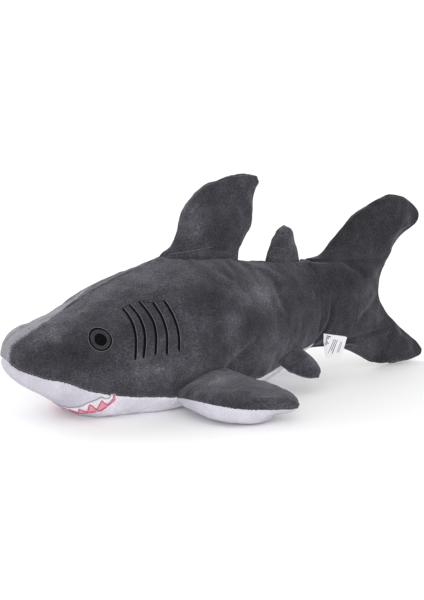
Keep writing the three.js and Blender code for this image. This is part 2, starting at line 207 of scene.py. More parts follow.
# The body's cross-sections: place along X, top seam, underside, half width, squareness.
BODY = [
    (-251, 65.8, 64.4, 0.4, 2.0),
    (-249.6, 71.5, 57, 7, 2.0),
    (-246.5, 79, 49, 16, 2.0),
    (-240, 85.5, 41, 26, 2.1),
    (-229, 91, 32, 34, 2.2),
    (-214, 95, 23, 42, 2.3),
    (-198, 100, 13, 49, 2.3),
    (-180, 108.5, 1, 55, 2.3),
    (-160, 119, -7, 60, 2.3),
    (-135, 129.5, -10, 64, 2.2),
    (-105, 138.5, -15, 66, 2.2),
    (-75, 146.5, -18, 66, 2.1),
    (-45, 146, -14, 63, 2.1),
    (-15, 142.5, -9, 57, 2.1),
    (12, 136, -6, 50, 2.1),
    (36, 133, 4, 43, 2.0),
    (58, 130.5, 16, 37, 2.0),
    (76, 129.5, 26, 32, 2.0),
    (92, 130, 33, 28, 2.0),
]
WIDEST = 0.46  # height of the widest point, as a share of the section's height
SECTION_POINTS = 241
BELLY_COLUMNS = 21  # points across half of the belly panel
BACK_COLUMNS = 34  # points across each back panel

# Height of the seam between the grey back and the white belly, at places along X.
SIDE_SEAM = [
    (-251, 65), (-249.6, 62), (-244, 55), (-229, 49), (-201, 42), (-187, 34), (-162, 28), (-138, 23),
    (-90, 16), (-45, 18), (-15, 18), (12, 18), (36, 22), (58, 29), (76, 36), (92, 41),
]

# Fins, as rows from the root to the tip. Those on the back, in side view (x, z): front end, rear
# end, half thickness.
DORSAL = [
    ((-84, 148), (8, 141), 15),
    ((-77, 152), (8, 147), 11.5),
    ((-71, 158), (12, 155), 10.5),
    ((-65, 171), (21, 170), 13),
    ((-60, 188), (24, 185), 12),
    ((-52, 200), (24, 199), 10),
    ((-40, 211), (27, 209), 8),
    ((-27, 218), (31, 216), 6.5),
    ((-6, 224), (27, 223.5), 4),
]
REAR_DORSAL = [
    ((39, 136), (81, 134), 6),
    ((42, 144), (79, 142), 8),
    ((46, 153), (75, 152), 8),
    ((50, 160), (73, 160), 6.5),
    ((53, 165), (70, 165), 5),
]
# Those at the sides: front end, rear end, half thickness over the seam and under it.
PECTORAL = [
    ((-96, 59, 18), (-38, 66, 40), 7, 15),
    ((-94, 80, 22), (-25, 84, 35), 8.5, 19),
    ((-87, 108, 24), (-8, 101, 29), 9.5, 21.5),
    ((-66, 129, 21), (2, 114, 24), 9.5, 20),
    ((-38, 136, 18), (5, 123, 19.5), 9, 16.5),
    ((-14, 134.5, 14.5), (4, 127, 15), 5, 9),
]
PELVIC = [
    ((36, 41, 28), (65, 38, 42), 5, 5),
    ((41, 48, 24), (70, 46, 36), 8, 8),
    ((50, 55, 20), (74, 53, 28), 7.5, 7.5),
    ((59, 60, 17), (73, 59, 22), 5, 5),
]

# The tail, as rows in side view from the lower tip to the upper one. Its middle rows start on the
# body's end, where the tail is as thick as the body.
TAIL_SEAM = 92
TUCK = {"reach": 3.0, "narrow": 0.96}  # how far the tail's edge reaches in under the body's
TAIL = [
    ((191, 3.0), (229, 3.2), 3.2),
    ((179, 5), (243, 5), 5.5),
    ((166, 12), (248, 12), 7.5),
    ((148, 22), (241, 22), 9.5),
    ((128, 30), (230, 31), 10.5),
    ((108, 33.5), (221, 38), 10.5),
    ((TAIL_SEAM, 33), (213, 45), 9),
    ((TAIL_SEAM, 45), (206, 52), 3),
    ((TAIL_SEAM, 60), (197, 61), 1),
    ((TAIL_SEAM, 82), (186, 80), 0),
    ((TAIL_SEAM, 104), (187, 103), 1),
    ((TAIL_SEAM, 121), (194, 118), 3),
    ((TAIL_SEAM, 130), (200, 128), 8),
    ((105, 132.5), (205, 138), 10),
    ((121, 148), (215, 148), 10),
    ((133, 160), (234, 160), 9.5),
    ((148, 172), (236, 172), 9),
    ((164, 182), (226, 182), 8),
    ((179, 189), (216, 189), 6),
    ((187, 191.8), (206, 191.8), 2.5),
]


# ------ small helpers
def spline(rows, at):
    """A smooth curve through rows of any shape, read at places from 0 to len(rows) - 1."""
    rows = np.asarray(rows, float)
    last = len(rows) - 1
    at = np.clip(np.asarray(at, float), 0, last)
    i = np.minimum(at.astype(int), last - 1)
    t = (at - i).reshape((-1,) + (1,) * (rows.ndim - 1))
    padded = np.concatenate([2 * rows[:1] - rows[1:2], rows, 2 * rows[-1:] - rows[-2:-1]])
    a, b, c, d = (padded[i + k] for k in range(4))
    return b + t / 2 * (c - a + t * (2 * a - 5 * b + 4 * c - d + t * (3 * (b - c) + d - a)))


def regrid(grid, rows, columns):
    """A smooth grid read at places along its rows and columns."""
    return spline(spline(grid, rows).swapaxes(0, 1), columns).swapaxes(0, 1)


def lengths(line):
    """Length along a line of points at each of them."""
    line = np.asarray(line, float)
    return np.linalg.norm(np.diff(line, axis=0, prepend=line[:1]), axis=1).cumsum()


def places_along(line, step):
    """Places, as spline() takes them, that divide a line into equal steps of about that length."""
    total = lengths(line)
    count = max(round(total[-1] / step), 4)
    return np.interp(np.linspace(0, total[-1], count + 1), total, np.arange(len(total)))


def resample(line, shares):
    """Points of a fine line at shares of its length."""
    total = lengths(line)
    at = np.asarray(shares) * total[-1]
    return np.column_stack([np.interp(at, total, coordinate) for coordinate in line.T])


def unit(v):
    return v / np.maximum(np.linalg.norm(v, axis=-1, keepdims=True), 1e-9)


def wave(points, size, seed=0.0):
    """Smooth noise from -1 to 1 at points, with lumps of that size."""
    flat = np.asarray(points, float).reshape(-1, 3) / size + seed
    return np.array([noise.noise(Vector(p)) for p in flat]).reshape(np.shape(points)[:-1])


def quads(numbers):
    """The faces of a grid of point numbers, facing out."""
    n = np.asarray(numbers)
    corners = (n[:-1, :-1], n[:-1, 1:], n[1:, 1:], n[1:, :-1])
    return [tuple(q) for q in np.stack(corners, axis=-1).reshape(-1, 4).tolist()]


def mirrored(grid):
    """The same grid on the shark's other side."""
    return grid[:, ::-1] * (1, -1, 1)


def new_object(name, data):
    """A new object in the scene."""
    thing = bpy.data.objects.new(name, data)
    bpy.context.scene.collection.objects.link(thing)
    return thing


# ------ fabric bags
class Bag:
    """Panels of fabric that meet at their edges, each a grid of points.

    seams says which edges of each panel are sewn: first or last of its rows or columns.
    """

    def __init__(self, panels, seams):
        self.panels = panels
        self.seams = seams

    def welded(self):
        """All points once, and for each panel the number of each of its points."""
        points = np.concatenate([g.reshape(-1, 3) for g in self.panels.values()])
        _, first, number = np.unique(np.round(points, 2), axis=0, return_index=True, return_inverse=True)
        ends = np.cumsum([grid[..., 0].size for grid in self.panels.values()])
        parts = zip(self.panels.items(), np.split(number.ravel(), ends[:-1]))
        return points[first], {name: part.reshape(grid.shape[:2]) for (name, grid), part in parts}

    def mesh(self, name):
        points, numbers = self.welded()
        faces = [list(dict.fromkeys(quad)) for n in numbers.values() for quad in quads(n)]
        mesh = bpy.data.meshes.new(name)
        mesh.from_pydata(points * MM, [], [face for face in faces if len(face) > 2])
        mesh.update()
        return mesh, numbers

    def normals(self):
        """The outward direction at each point of each panel, the same on both sides of a seam."""
        mesh, numbers = self.mesh("normals")
        found = np.array([n.vector for n in mesh.vertex_normals])
        bpy.data.meshes.remove(mesh)
        return {name: found[n] for name, n in numbers.items()}

    def sewn_points(self, numbers):
        """Numbers of the points on the sewn edges."""
        found = set()
        for name, edges in self.seams.items():
            n = numbers[name]
            lines = {"first_row": n[0], "last_row": n[-1], "first_column": n[:, 0], "last_column": n[:, -1]}
            for edge in edges:
                found.update(int(k) for k in lines[edge])
        return sorted(found)


def inflate(bag, growth, cap, kept=None):
    """Fills a bag by cloth simulation: the fabric, cut a little larger, swells between its seams.
    kept says what share of the swelling stays at each point."""
    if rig.quick():
        return
    mesh, numbers = bag.mesh("bag")
    scene = bpy.context.scene
    thing = new_object("bag", mesh)
    thing.vertex_groups.new(name="sewn").add(bag.sewn_points(numbers), 1.0, "REPLACE")
    modifier = thing.modifiers.new("cloth", "CLOTH")
    for setting, value in CLOTH.items():
        setattr(modifier.settings, setting, value)
    modifier.settings.shrink_min = -growth
    modifier.settings.effector_weights.gravity = 0
    modifier.collision_settings.use_collision = False
    for step in range(1, CLOTH_FRAMES + 1):
        scene.frame_set(step)
    filled = thing.evaluated_get(bpy.context.evaluated_depsgraph_get()).data
    moved = np.array([v.co for v in filled.vertices]) / MM
    before = np.array([v.co for v in mesh.vertices]) / MM
    shift = moved - before
    reach = np.linalg.norm(shift, axis=1, keepdims=True)
    shift *= cap * np.tanh(reach / cap) / np.maximum(reach, 1e-6)
    if kept is not None:
        shift *= kept(before)[:, None]
    after = before + shift
    for name, n in numbers.items():
        bag.panels[name] = relaxed(after[n])
    bpy.data.objects.remove(thing)
    bpy.data.meshes.remove(mesh)
    scene.frame_set(1)


def relaxed(grid):
    """A grid with the zigzag between neighbouring points taken out; its edges stay."""
    around = (grid[:-2, 1:-1] + grid[2:, 1:-1] + grid[1:-1, :-2] + grid[1:-1, 2:]) / 4
    result = grid.copy()
    result[1:-1, 1:-1] = (grid[1:-1, 1:-1] + around) / 2
    return result


def fine_places(line, sewn_start, sewn_end):
    """Places for spline() along a line: even steps, and close ones beside a sewn end."""
    total = lengths(line)
    start = BESIDE_SEAM[-1] if sewn_start else 0
    inner = total[-1] - start - (BESIDE_SEAM[-1] if sewn_end else 0)
    count = max(round(inner / FINE_STEP), 4)
    parts = [BESIDE_SEAM[:-1]] if sewn_start else []
    parts.append(start + np.linspace(0, inner, count + 1))
    if sewn_end:
        parts.append(total[-1] - BESIDE_SEAM[-2::-1])
    return np.interp(np.concatenate(parts), total, np.arange(len(total)))


def refine(bag):
    """Finer grids for the finished fabric. All the panels of a bag have the same rows."""
    first = next(iter(bag.panels.values()))
    edges = next(iter(bag.seams.values()))
    rows = fine_places(first[:, first.shape[1] // 2], "first_row" in edges, "last_row" in edges)
    for name, grid in bag.panels.items():
        edges = bag.seams[name]
        columns = fine_places(grid[len(grid) // 2], "first_column" in edges, "last_column" in edges)
        bag.panels[name] = regrid(grid, rows, columns)


def edge_distances(grid):
    """Distance of each point from the four edges of its grid, measured along the grid."""
    down = np.linalg.norm(np.diff(grid, axis=0, prepend=grid[:1]), axis=2).cumsum(axis=0)
    across = np.linalg.norm(np.diff(grid, axis=1, prepend=grid[:, :1]), axis=2).cumsum(axis=1)
    return {
        "first_row": down,
        "last_row": down[-1] - down,
        "first_column": across,
        "last_column": across[:, -1:] - across,
    }


EDGES = ("first_row", "last_row", "first_column", "last_column")
SEAM = {"depth": 1.5, "width": 1.7}
PUCKER = {"height": 0.55, "pitch": 7.0, "length": 30, "place": 3.5, "fade": 9.0}
LUMPS = [(0.9, 34.0, 3.7), (0.35, 11.0, 9.1)]  # lumps in the filling: height, size, seed
NARROW = 14  # a panel narrower than this has less relief
UNDERSIDE = {"below": 1.5, "relief": 0.2}  # the flat underside, and what is left of the relief there
SIDE, ABOVE = (0, 2), (0, 1)  # the two axes that a line is drawn in, seen from there
CREASES = {  # on each panel: view, line, depth, width
    "tail_left_panel": [
        (SIDE, [(131, 126), (159, 108)], 1.6, 3.0),
        (SIDE, [(137, 111), (178, 95)], 1.0, 3.5),
        (SIDE, [(147, 61), (184, 81)], 1.4, 3.5),
        (SIDE, [(86, 30), (97, 50), (105, 68), (108, 88)], 1.5, 2.2),
    ],
    "back_panel_left": [
        (SIDE, [(80, 20), (97, 50)], 1.2, 2.2),
        (SIDE, [(-36, 135), (-20, 124)], 1.2, 3.0),
        (SIDE, [(-8, 146), (10, 128)], 1.3, 3.0),
        (SIDE, [(-46, 36), (-24, 52), (2, 68)], 1.3, 3.2),
    ],
    "dorsal_fin_left_panel": [
        (SIDE, [(-84, 148), (-50, 152.5), (-27, 153.8), (4, 145)], 1.6, 1.8),
    ],
    "pectoral_fin_top_panel_left": [(ABOVE, [(-86, -70), (-64, -77), (-46, -74)], 1.2, 1.4)],
}
RIDGE = {"height": 0.35, "away": 2.4, "width": 1.4}  # beside a crease, as shares of the crease
BUMPS = [((-86, 0, 147), 9.0, 3.0)]  # where the filling pushes out: place, radius, height


def sew(bag, share=None, deep=1.0):
    """Seams drawn in, puckers beside them, soft lumps in the filling, and creases in the fabric.
    share says how much of a seam shows at each point, and deep how far it is drawn in."""
    normals = bag.normals()
    for number, (name, grid) in enumerate(bag.panels.items()):
        distance = edge_distances(grid)
        lift = sum(height * wave(grid, size, seed) for height, size, seed in LUMPS)
        shown = 1.0 if share is None else share(grid)
        for edge in bag.seams[name]:
            d = distance[edge]
            along = distance["first_column" if "row" in edge else "first_row"]
            panel_seed = np.full_like(d, 10.0 * number)
            spot = np.stack([along / PUCKER["pitch"], d / PUCKER["length"], panel_seed], axis=-1)
            out = d / PUCKER["place"]
            near = out * np.exp(1 - out) + np.exp(-d / PUCKER["fade"]) * np.minimum(out, 1)
            lift += shown * PUCKER["height"] * wave(spot, 1.0, 5.5) * near
            lift -= shown * deep * SEAM["depth"] * np.exp(-(d / SEAM["width"]) ** 2)
        for axes, line, depth, width in CREASES.get(name, ()):
            away, along = distance_to_line(grid[..., axes], line)
            taper = np.sqrt(np.clip(6 * along * (1 - along), 0, 1))
            valley = np.exp(-(away / width) ** 2)
            valley -= RIDGE["height"] * np.exp(-((away / width - RIDGE["away"]) / RIDGE["width"]) ** 2)
            lift -= depth * taper * valley
        for place, radius, height in BUMPS:
            lift += height * np.exp(-(np.linalg.norm(grid - place, axis=-1) / radius) ** 2)
        lift *= np.clip(distance["first_column"][:, -1:] / NARROW, 0, 1)
        flatter = np.minimum(lift, 0.0) * UNDERSIDE["relief"]
        lift = np.where(grid[..., 2] < UNDERSIDE["below"], flatter, lift)
        moved = grid + normals[name] * lift[..., None]
        moved[..., 2] = np.maximum(moved[..., 2], 0.0)
        bag.panels[name] = moved


def distance_to_line(places, line):
    """Distance of each place from a line through a few places, and how far along it, 0 to 1."""
    line = np.asarray(line, float)
    at = lengths(line) / lengths(line)[-1]
    best, where = np.full(places.shape[:-1], 1e9), np.zeros(places.shape[:-1])
    for k in range(len(line) - 1):
        along = line[k + 1] - line[k]
        t = np.clip(((places - line[k]) @ along) / (along @ along), 0, 1)
        away = np.linalg.norm(places - line[k] - t[..., None] * along, axis=-1)
        nearer = away < best
        where = np.where(nearer, at[k] + t * (at[k + 1] - at[k]), where)
        best = np.where(nearer, away, best)
    return best, where


# ------ pieces
def new_piece(name, points, faces, material):
    """A smooth mesh object of the finished model, from points in millimetres."""
    mesh = bpy.data.meshes.new(name)
    mesh.from_pydata(np.asarray(points, float) * MM, [], faces)
    mesh.materials.append(material)
    mesh.polygons.foreach_set("use_smooth", np.ones(len(mesh.polygons), bool))
    mesh.update()
    piece = new_object(name, mesh)
    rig.slot(piece, material["slot"])
    return piece


def shell_faces(rows, columns):
    """Faces of a closed shell whose two sides are grids of that size, one after the other."""
    n = np.arange(rows * columns).reshape(rows, columns)
    under = n + rows * columns
    faces = quads(n) + quads(under[:, ::-1])
    faces += quads(np.stack([under[0], n[0]]))
    faces += quads(np.stack([n[-1], under[-1]]))
    faces += quads(np.stack([under[:, 0], n[:, 0]], axis=1))
    faces += quads(np.stack([n[:, -1], under[:, -1]], axis=1))
    return faces


def shell_piece(name, grid, normals, material, thickness=SHELL, values=None):
    """A panel of fabric: a grid with a lining a little under it, closed along all four edges.
    The fabric thins towards its edges. values holds numbers for the material, one set for each
    point of the grid."""
    rows, columns = grid.shape[:2]
    distance = edge_distances(grid)
    inwards = np.minimum.reduce([distance[edge] for edge in EDGES])
    depth = thickness * np.clip(RIM["share"] + inwards / RIM["width"], 0, 1)
    points = np.concatenate([grid.reshape(-1, 3), (grid - normals * depth[..., None]).reshape(-1, 3)])
    piece = new_piece(name, points, shell_faces(rows, columns), material)
    mesh = piece.data
    rim = np.ones((rows, columns), bool)
    rim[1:-1, 1:-1] = False
    rim = np.tile(rim.ravel(), 2)
    ends = np.zeros(2 * len(mesh.edges), int)
    mesh.edges.foreach_get("vertices", ends)
    a, b = ends.reshape(-1, 2).T
    sharp = rim[a] & rim[b] & ((a < rows * columns) == (b < rows * columns))
    mesh.attributes.new("sharp_edge", "BOOLEAN", "EDGE").data.foreach_set("value", sharp)
    for attribute, numbers in (values or {}).items():
        layer = mesh.attributes.new(attribute, "FLOAT", "POINT")
        layer.data.foreach_set("value", np.tile(numbers.ravel(), 2).astype(np.float32))
    return piece


# ------ the body
def body_sections(step):
    """Cross-sections of the body at about that spacing, each a fine line up the right side."""
    table = np.array(BODY, float)
    at = places_along(table[:, :4], step)
    sections = []
    for x, top, bottom, half, square in spline(table, at):
        middle = bottom + (top - bottom) * WIDEST
        angle = np.linspace(-math.pi / 2, math.pi / 2, SECTION_POINTS)
        rise = np.sign(angle) * np.abs(np.sin(angle)) ** (2 / square)
        z = middle + np.where(angle >= 0, top - middle, middle - bottom) * rise
        z = (z + np.sqrt(z * z + FLAT_EDGE ** 2)) / 2
        y = half * np.abs(np.cos(angle)) ** (2 / square)
        sections.append(np.column_stack([np.full_like(y, x), y, z]))
    return sections


def make_body_bag():
    """The body's three panels: the back's two halves and the belly."""
    seam = np.array(SIDE_SEAM, float)
    belly, back = [], []
    for section in body_sections(CLOTH_STEP):
        height = np.interp(section[0, 0], seam[:, 0], seam[:, 1])
        split = np.clip(np.searchsorted(section[:, 2], height), 2, len(section) - 3)
        belly.append(resample(section[:split + 1], np.linspace(0, 1, BELLY_COLUMNS)))
        back.append(resample(section[split:], np.linspace(0, 1, BACK_COLUMNS)))
    belly, back = np.array(belly), np.array(back)
    whole_belly = np.concatenate([belly[:, :0:-1] * (1, -1, 1), belly], axis=1)
    panels = {"belly_panel": whole_belly, "back_panel_right": back, "back_panel_left": mirrored(back)}
    edges = ["first_column", "last_column", "last_row"]
    return Bag(panels, {name: edges for name in panels})


# ------ fins
TIP = {"angles": (30, 55, 75, 87), "of_chord": 0.55, "of_thickness": 0.4}
PLAIN, FULL = (0.8, 0.6), (0.6, 0.5)  # how a fin swells: how far forward, and how full
MUCH_FULLER = 4  # a fin this much thicker under its seam than over it swells fully there
OPENING = {"out": 0.7, "up": 3, "thick": 10, "reach": 0.4}  # how an open front fades along the chord


def swell(share, front, fullness):
    """Half thickness of a closed pocket along its chord, as a share of the greatest."""
    return np.sin(np.pi * np.clip(share, 0, 1) ** front) ** fullness


def upright(rows):
    """Rows of a fin that stands on the midline, from its rows in side view."""
    return [((a, 0, b), (c, 0, d), thick, thick) for (a, b), (c, d), thick in rows]


def rounded(rows):
    """Rows of a fin with a few more that round off its tip."""
    (lead, trail, over, under), (before_lead, before_trail, _, _) = rows[-1], rows[-2]
    lead, trail = np.array(lead, float), np.array(trail, float)
    out = unit(lead + trail - np.array(before_lead) - np.array(before_trail))
    middle, half = (lead + trail) / 2, (trail - lead) / 2
    reach = min(TIP["of_chord"] * np.linalg.norm(half), TIP["of_thickness"] * (over + under))
    more = []
    for angle in np.radians(TIP["angles"]):
        narrow = math.cos(angle)
        tip = middle + out * reach * math.sin(angle)
        more.append((tip - half * narrow, tip + half * narrow, over * narrow, under * narrow))
    return [*rows, *more]


def make_pocket(rows, names, root_on=None, open_at=None):
    """A fin's two faces. root_on pulls the root on to the body, and open_at says how far out and
    up an open front stands from each row's start."""
    lead, trail = (np.array([r[k] for r in rows], float) for k in (0, 1))
    thick = np.array([r[2:] for r in rows], float)
    at = places_along((lead + trail) / 2, CLOTH_STEP)
    lead, trail, thick = spline(lead, at), spline(trail, at), np.maximum(spline(thick, at), 0.02)
    middle = (lead + trail) / 2
    chord = trail - lead
    normal = unit(np.cross(chord, np.gradient(middle, axis=0)))
    count = max(round(np.linalg.norm(chord, axis=1).max() / CLOTH_STEP), 8)
    share = (1 - np.cos(np.linspace(0, np.pi, count + 1))) / 2
    share = 0.5 * share + 0.5 * np.linspace(0, 1, count + 1)
    flat = lead[:, None] + chord[:, None] * share[:, None]
    open_front = 0.0
    gentle = np.ones((len(at), 1))
    if open_at is not None:
        out, up = open_at(lead)
        open_front = out[:, None] * (1 - share) ** OPENING["out"]
        held = np.clip(out / OPENING["thick"], 0, 1)[:, None]
        gentle = 1 - held * (1 - np.clip(share / OPENING["reach"], 0, 1))
        flat[..., 2] += up[:, None] * (1 - share) ** OPENING["up"]
    panels = {}
    for k, (name, face) in enumerate(zip(names, (1, -1))):
        fuller = np.ptp(thick, axis=1).max() > MUCH_FULLER and face < 0
        height = thick[:, k, None] * swell(share, *(FULL if fuller else PLAIN)) * gentle
        grid = flat + face * normal[:, None] * (height + open_front)[..., None]
        if root_on is not None:
            grid[0] = [root_on(p) for p in grid[0]]
        if open_at is not None:
            tucked = up != 0
            grid[tucked, 0] += (-TUCK["reach"], 0, 0)
            grid[tucked, 0, 1] *= TUCK["narrow"]
        panels[name] = grid if face > 0 else grid[:, ::-1]
    return Bag(panels, {name: EDGES for name in panels})


# ------ embroidery
EYE = {"x": -171.5, "z": 83.5, "ring": 10.2, "thread": 1.3, "pupil": 5.5, "pupil_core": 2.8}
GILL_WIDTH = 2.4
GILL_END = {"share": 0.35, "stitches": 3}  # a gill line's width at its ends, and how soon it is whole
GILL_SLANT = 0.15
GILLS = [  # each line from its top down, in side view
    ((-144, 109), (-140, 98), (-139, 83), (-141, 63)),
    ((-137, 112), (-132, 101), (-130, 86), (-133, 64)),
    ((-127, 114), (-121, 101), (-119, 87), (-121, 66)),
    ((-115, 113), (-110, 99), (-108, 85), (-109, 65)),
    ((-104, 114), (-99, 101), (-96, 86), (-96, 67)),
]
UPPER_LIP = [(-199, 0), (-197.5, 15), (-192, 30), (-184, 43.5), (-174, 51), (-159, 57.5)]
MOUTH = {"line": 1.2, "tooth": 6.6, "gum": 0.9, "teeth": 12, "stitches": 230}
THREAD = {"radius": 0.42, "pitch": 0.72, "lift": 0.75, "sunk": 0.25, "sides": 6, "rings": 6}
PILE_HIGHLIGHT = {"gap": 0.25, "round_eye": 0.3}  # raised pile beside black thread, with the light it catches painted in as a paler thread, a painted highlight
LAID = {  # threads laid along the surface: radius, height over it
    # the first two lay painted highlights: paler lines where raised pile catches the light
    "gill_edge": (0.3, 0.35), "eye_edge": (0.28, 0.25), "jump": (0.16, 0.3), "lip": (0.5, 0.3),
    "teeth_edge": (0.42, 0.55), "gum_edge": (0.42, 0.45), "root": (0.26, 0.1),
}
LAID_STEP = 2.0
THREADS = [  # name, slot, colour, roughness
    ("black_thread", "black_thread", (0.0022, 0.0022, 0.003), 0.75),
    ("grey_thread", "grey_thread", (0.30, 0.29, 0.33), 0.45),
    # a painted highlight: paler grey for raised pile beside black thread catching the light
    ("pile_edge", "grey_thread", (0.15, 0.15, 0.17), 0.8),
    ("pink_thread", "pink_thread", (0.78, 0.34, 0.42), 0.45),
    ("deep_pink_thread", "pink_thread", (0.55, 0.08, 0.16), 0.5),
    ("white_thread", "white_thread", (0.82, 0.80, 0.84), 0.45),
]
ROOT_THREAD = [(-76, 150), (-66, 151), (-52, 152.4), (-38, 153.6), (-28, 154)]
FAR_OUT, FAR_DOWN = 120, -60  # where the rays towards the surface start


class Surface:
    """The surface of a bag, for what lies on it."""

    def __init__(self, bag):
        mesh, _ = bag.mesh("surface")
        points = [v.co / MM for v in mesh.vertices]
        self.tree = BVHTree.FromPolygons(points, [tuple(p.vertices) for p in mesh.polygons])
        bpy.data.meshes.remove(mesh)

    def read(self, start, way):
        """Where a ray meets the surface, and the surface's direction there."""
        point, normal, _, _ = self.tree.ray_cast(Vector(start), Vector(way))
        return np.array(point), np.array(normal)

    def beside(self, side):
        """Reads a place in side view, (x, z), on the right side (1) or the left (-1)."""
        return lambda place: self.read((place[0], side * FAR_OUT, place[1]), (0, -side, 0))

    def below(self, place):
        """Reads a place seen from below, (x, y)."""
        return self.read((place[0], place[1], FAR_DOWN), (0, 0, 1))

    def nearest(self, point, sunk):
        """The nearest place on the surface, and a little under it."""
        found, normal, _, _ = self.tree.find_nearest(Vector(point))
        return np.array(found) - np.array(normal) * sunk


def thread_tube(centres, normals, radii):
    """Points and faces of one thread along a few centres, with closed ends."""
    along = unit(np.gradient(centres, axis=0))
    side = unit(np.cross(normals, along))
    up = np.cross(along, side)
    angle = np.linspace(0, 2 * math.pi, THREAD["sides"], endpoint=False)
    ring = np.cos(angle)[:, None] * side[:, None] + np.sin(angle)[:, None] * up[:, None]
    points = centres[:, None] + ring * np.asarray(radii)[:, None, None]
    rings, sides = points.shape[:2]
    n = np.arange(rings * sides).reshape(rings, sides)
    faces = quads(np.concatenate([n, n[:, :1]], axis=1)[:, ::-1])
    faces += [tuple(n[0].tolist()), tuple(n[-1, ::-1].tolist())]
    return points.reshape(-1, 3), faces


def join(parts):
    """Many sets of points and faces as one."""
    points, faces, start = [], [], 0
    for some_points, some_faces in parts:
        points.append(some_points)
        faces += [tuple(k + start for k in face) for face in some_faces]
        start += len(some_points)
    return np.concatenate(points), faces


def on_surface(read, places, lift):
    """Points that far over the surface at each place, and the surface's directions there."""
    found = np.array([read(p) for p in places])
    return found[:, 0] + found[:, 1] * np.reshape(lift, (-1, 1)), found[:, 1]


def satin(read, ends, lift=THREAD["lift"]):
    """Satin stitches side by side, each on the surface between two places."""
    share = np.linspace(0, 1, THREAD["rings"])
    arch = np.sin(np.pi * share) ** 0.5
    threads = []
    for a, b in ends:
        places = np.asarray(a)[None] * (1 - share[:, None]) + np.asarray(b)[None] * share[:, None]
        centres, normals = on_surface(read, places, lift * arch - THREAD["sunk"])
        threads.append(thread_tube(centres, normals, THREAD["radius"] * (0.55 + 0.45 * arch)))
    return join(threads)


def laid_thread(read, places, radius, lift):
    """One thread laid along a line of places on the surface."""
    centres, normals = on_surface(read, places, lift)
    return thread_tube(centres, normals, np.full(len(centres), radius))


def even_line(points, step):
    """A smooth flat line through a few points, at equal steps, with its direction at each."""
    points = np.asarray(points, float)
    fine = spline(points, np.linspace(0, len(points) - 1, 20 * len(points)))
    count = max(round(lengths(fine)[-1] / step), 2)
    line = resample(fine, np.linspace(0, 1, count + 1))
    return line, unit(np.gradient(line, axis=0))


def turned(along):
    """Flat directions, turned a quarter to the left."""
    return np.column_stack([-along[:, 1], along[:, 0]])


def gill_places(points):
    """The ends of the satin stitches across a gill line, a little slanted."""
    line, along = even_line(points, THREAD["pitch"])
    across = turned(along) + GILL_SLANT * along
    number = np.arange(len(line))
    from_end = np.minimum(number, number[::-1])
    width = GILL_WIDTH / 2 * np.minimum(1, GILL_END["share"] + from_end / GILL_END["stitches"])
    return list(zip(line - across * width[:, None], line + across * width[:, None]))


def circle_places(inner, outer):
    """The ends of satin stitches between two circles round the eye's middle."""
    count = round(2 * math.pi * outer / THREAD["pitch"])
    angle = np.linspace(0, 2 * math.pi, count, endpoint=False)
    spoke = np.column_stack([np.cos(angle), np.sin(angle)])
    middle = np.array([EYE["x"], EYE["z"]])
    return list(zip(middle + spoke * inner, middle + spoke * outer))


def mouth_edge(distances, count):
    """Places along the mouth at distances back from the upper lip; a list of two makes a zigzag."""
    right = np.array(UPPER_LIP, float)
    left = right[:0:-1] * (1, -1)
    arch = np.concatenate([left, right])
    share = np.linspace(0, 1, count)
    line = resample(spline(arch, np.linspace(0, len(arch) - 1, 400)), share)
    back = -turned(unit(np.gradient(line, axis=0)))
    turns = 2 * MOUTH["teeth"]
    zigzag = np.interp(np.linspace(0, turns, count), np.arange(turns + 1),
                       [distances[i % len(distances)] for i in range(turns + 1)])
    taper = np.clip(0.25 + 8 * np.minimum(share, 1 - share), 0, 1)
    return line + back * (zigzag * taper)[:, None]


